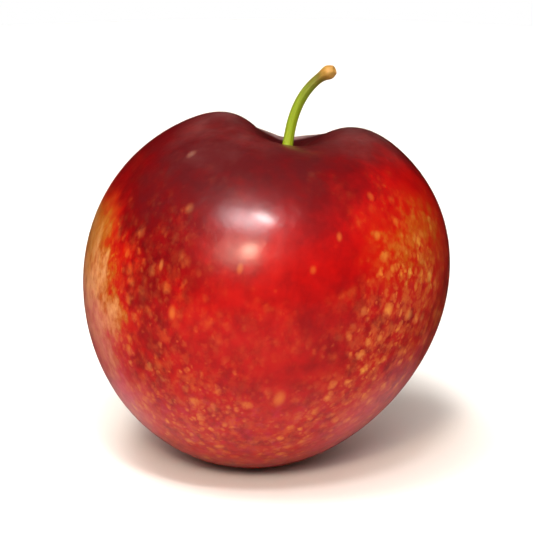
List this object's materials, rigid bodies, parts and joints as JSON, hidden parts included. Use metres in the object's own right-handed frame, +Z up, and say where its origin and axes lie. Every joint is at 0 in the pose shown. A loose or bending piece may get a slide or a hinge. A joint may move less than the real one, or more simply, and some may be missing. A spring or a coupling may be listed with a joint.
{
  "type": "plum cherry",
  "caption": "Ripe round plum cherry as picked, with a stem cavity between broad shoulders, a shallow suture and a short bent stem, resting on a small flat spot.",
  "frame": {"origin": "middle of the small flat spot that the fruit rests on", "axes": "+Z up from the surface; the fruit's own axis leans from it towards +X and a little towards +Y; the suture is on the +Y side"},
  "size_m": [0.0401, 0.0394, 0.0432],
  "materials": {
    "skin": "satin",
    "stem": "matte"
  },
  "bodies": {
    "root": {"fruit": "skin", "stem": "stem"}
  },
  "joints": []
}
